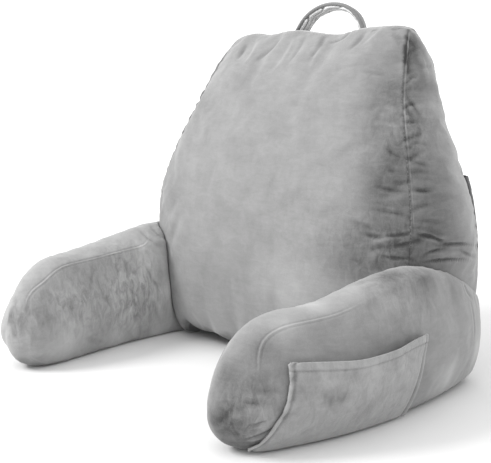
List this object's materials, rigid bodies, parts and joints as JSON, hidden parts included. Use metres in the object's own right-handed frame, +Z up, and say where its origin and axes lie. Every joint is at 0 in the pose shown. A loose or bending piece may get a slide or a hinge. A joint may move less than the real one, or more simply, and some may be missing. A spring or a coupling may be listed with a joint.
{
  "type": "reading pillow with arms",
  "caption": "Filled plush backrest pillow with arm rests, side pockets, a back pocket and a top carry handle.",
  "frame": {"origin": "middle of the base, at the centre of the pillow's footprint box, on the surface it rests on", "axes": "+Z up, -Y is the front where the sitter leans and the arms reach, +X across the arms"},
  "size_m": [0.6996, 0.5518, 0.5651],
  "materials": {
    "grey_plush": "short light grey plush nap, mottled where it has been brushed",
    "grey_strap": "light grey plush strap with bound edges",
    "dark_pocket_cloth": "dark matt woven pocket cloth"
  },
  "bodies": {
    "root": {"backrest": "grey_plush", "arm_left": "grey_plush", "arm_right": "grey_plush", "pocket_left": "grey_plush", "pocket_right": "grey_plush", "carry_handle": "grey_strap", "back_pocket": "dark_pocket_cloth"}
  },
  "joints": []
}
